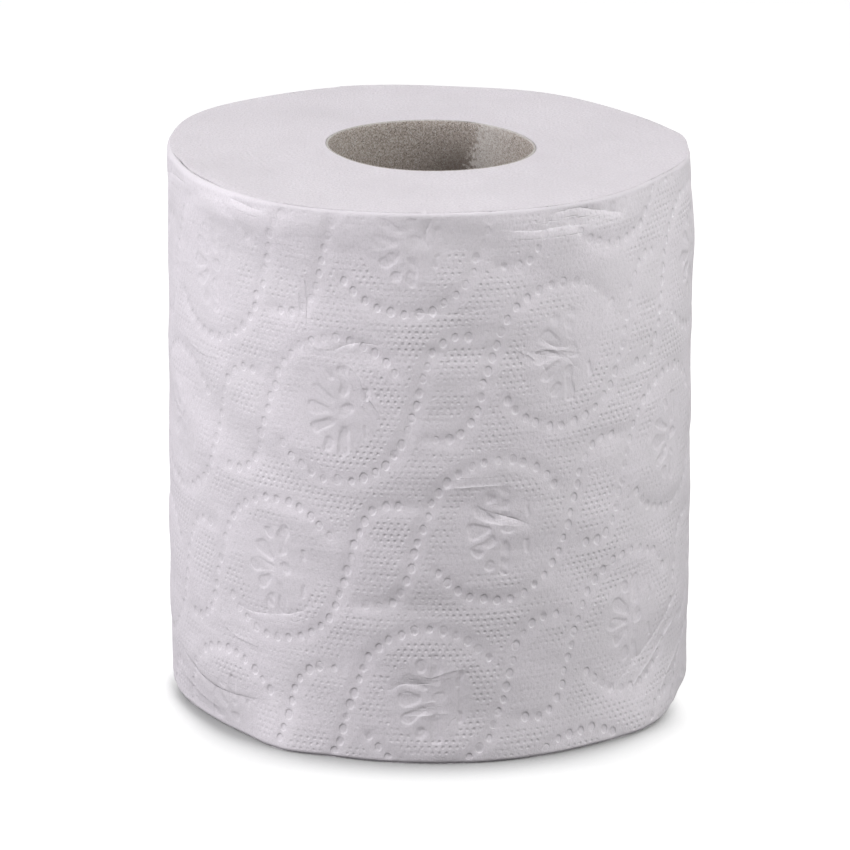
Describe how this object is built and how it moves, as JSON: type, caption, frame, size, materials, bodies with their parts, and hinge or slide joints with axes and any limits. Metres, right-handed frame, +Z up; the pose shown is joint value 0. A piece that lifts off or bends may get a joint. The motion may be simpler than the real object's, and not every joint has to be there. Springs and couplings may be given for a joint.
{
  "type": "toilet paper roll",
  "caption": "Toilet paper roll standing on end: embossed wound tissue on a spiral-wound cardboard core with an open bore.",
  "frame": {"origin": "centre of the roll's bottom end, on the surface it stands on", "axes": "+Z up along the roll's axis, -Y towards the viewer of the picture, +X to the right"},
  "size_m": [0.095, 0.0945, 0.1],
  "materials": {
    "tissue": "soft matte",
    "core_board": "matte"
  },
  "bodies": {
    "root": {"paper_roll": "tissue", "core_tube": "core_board"}
  },
  "joints": []
}
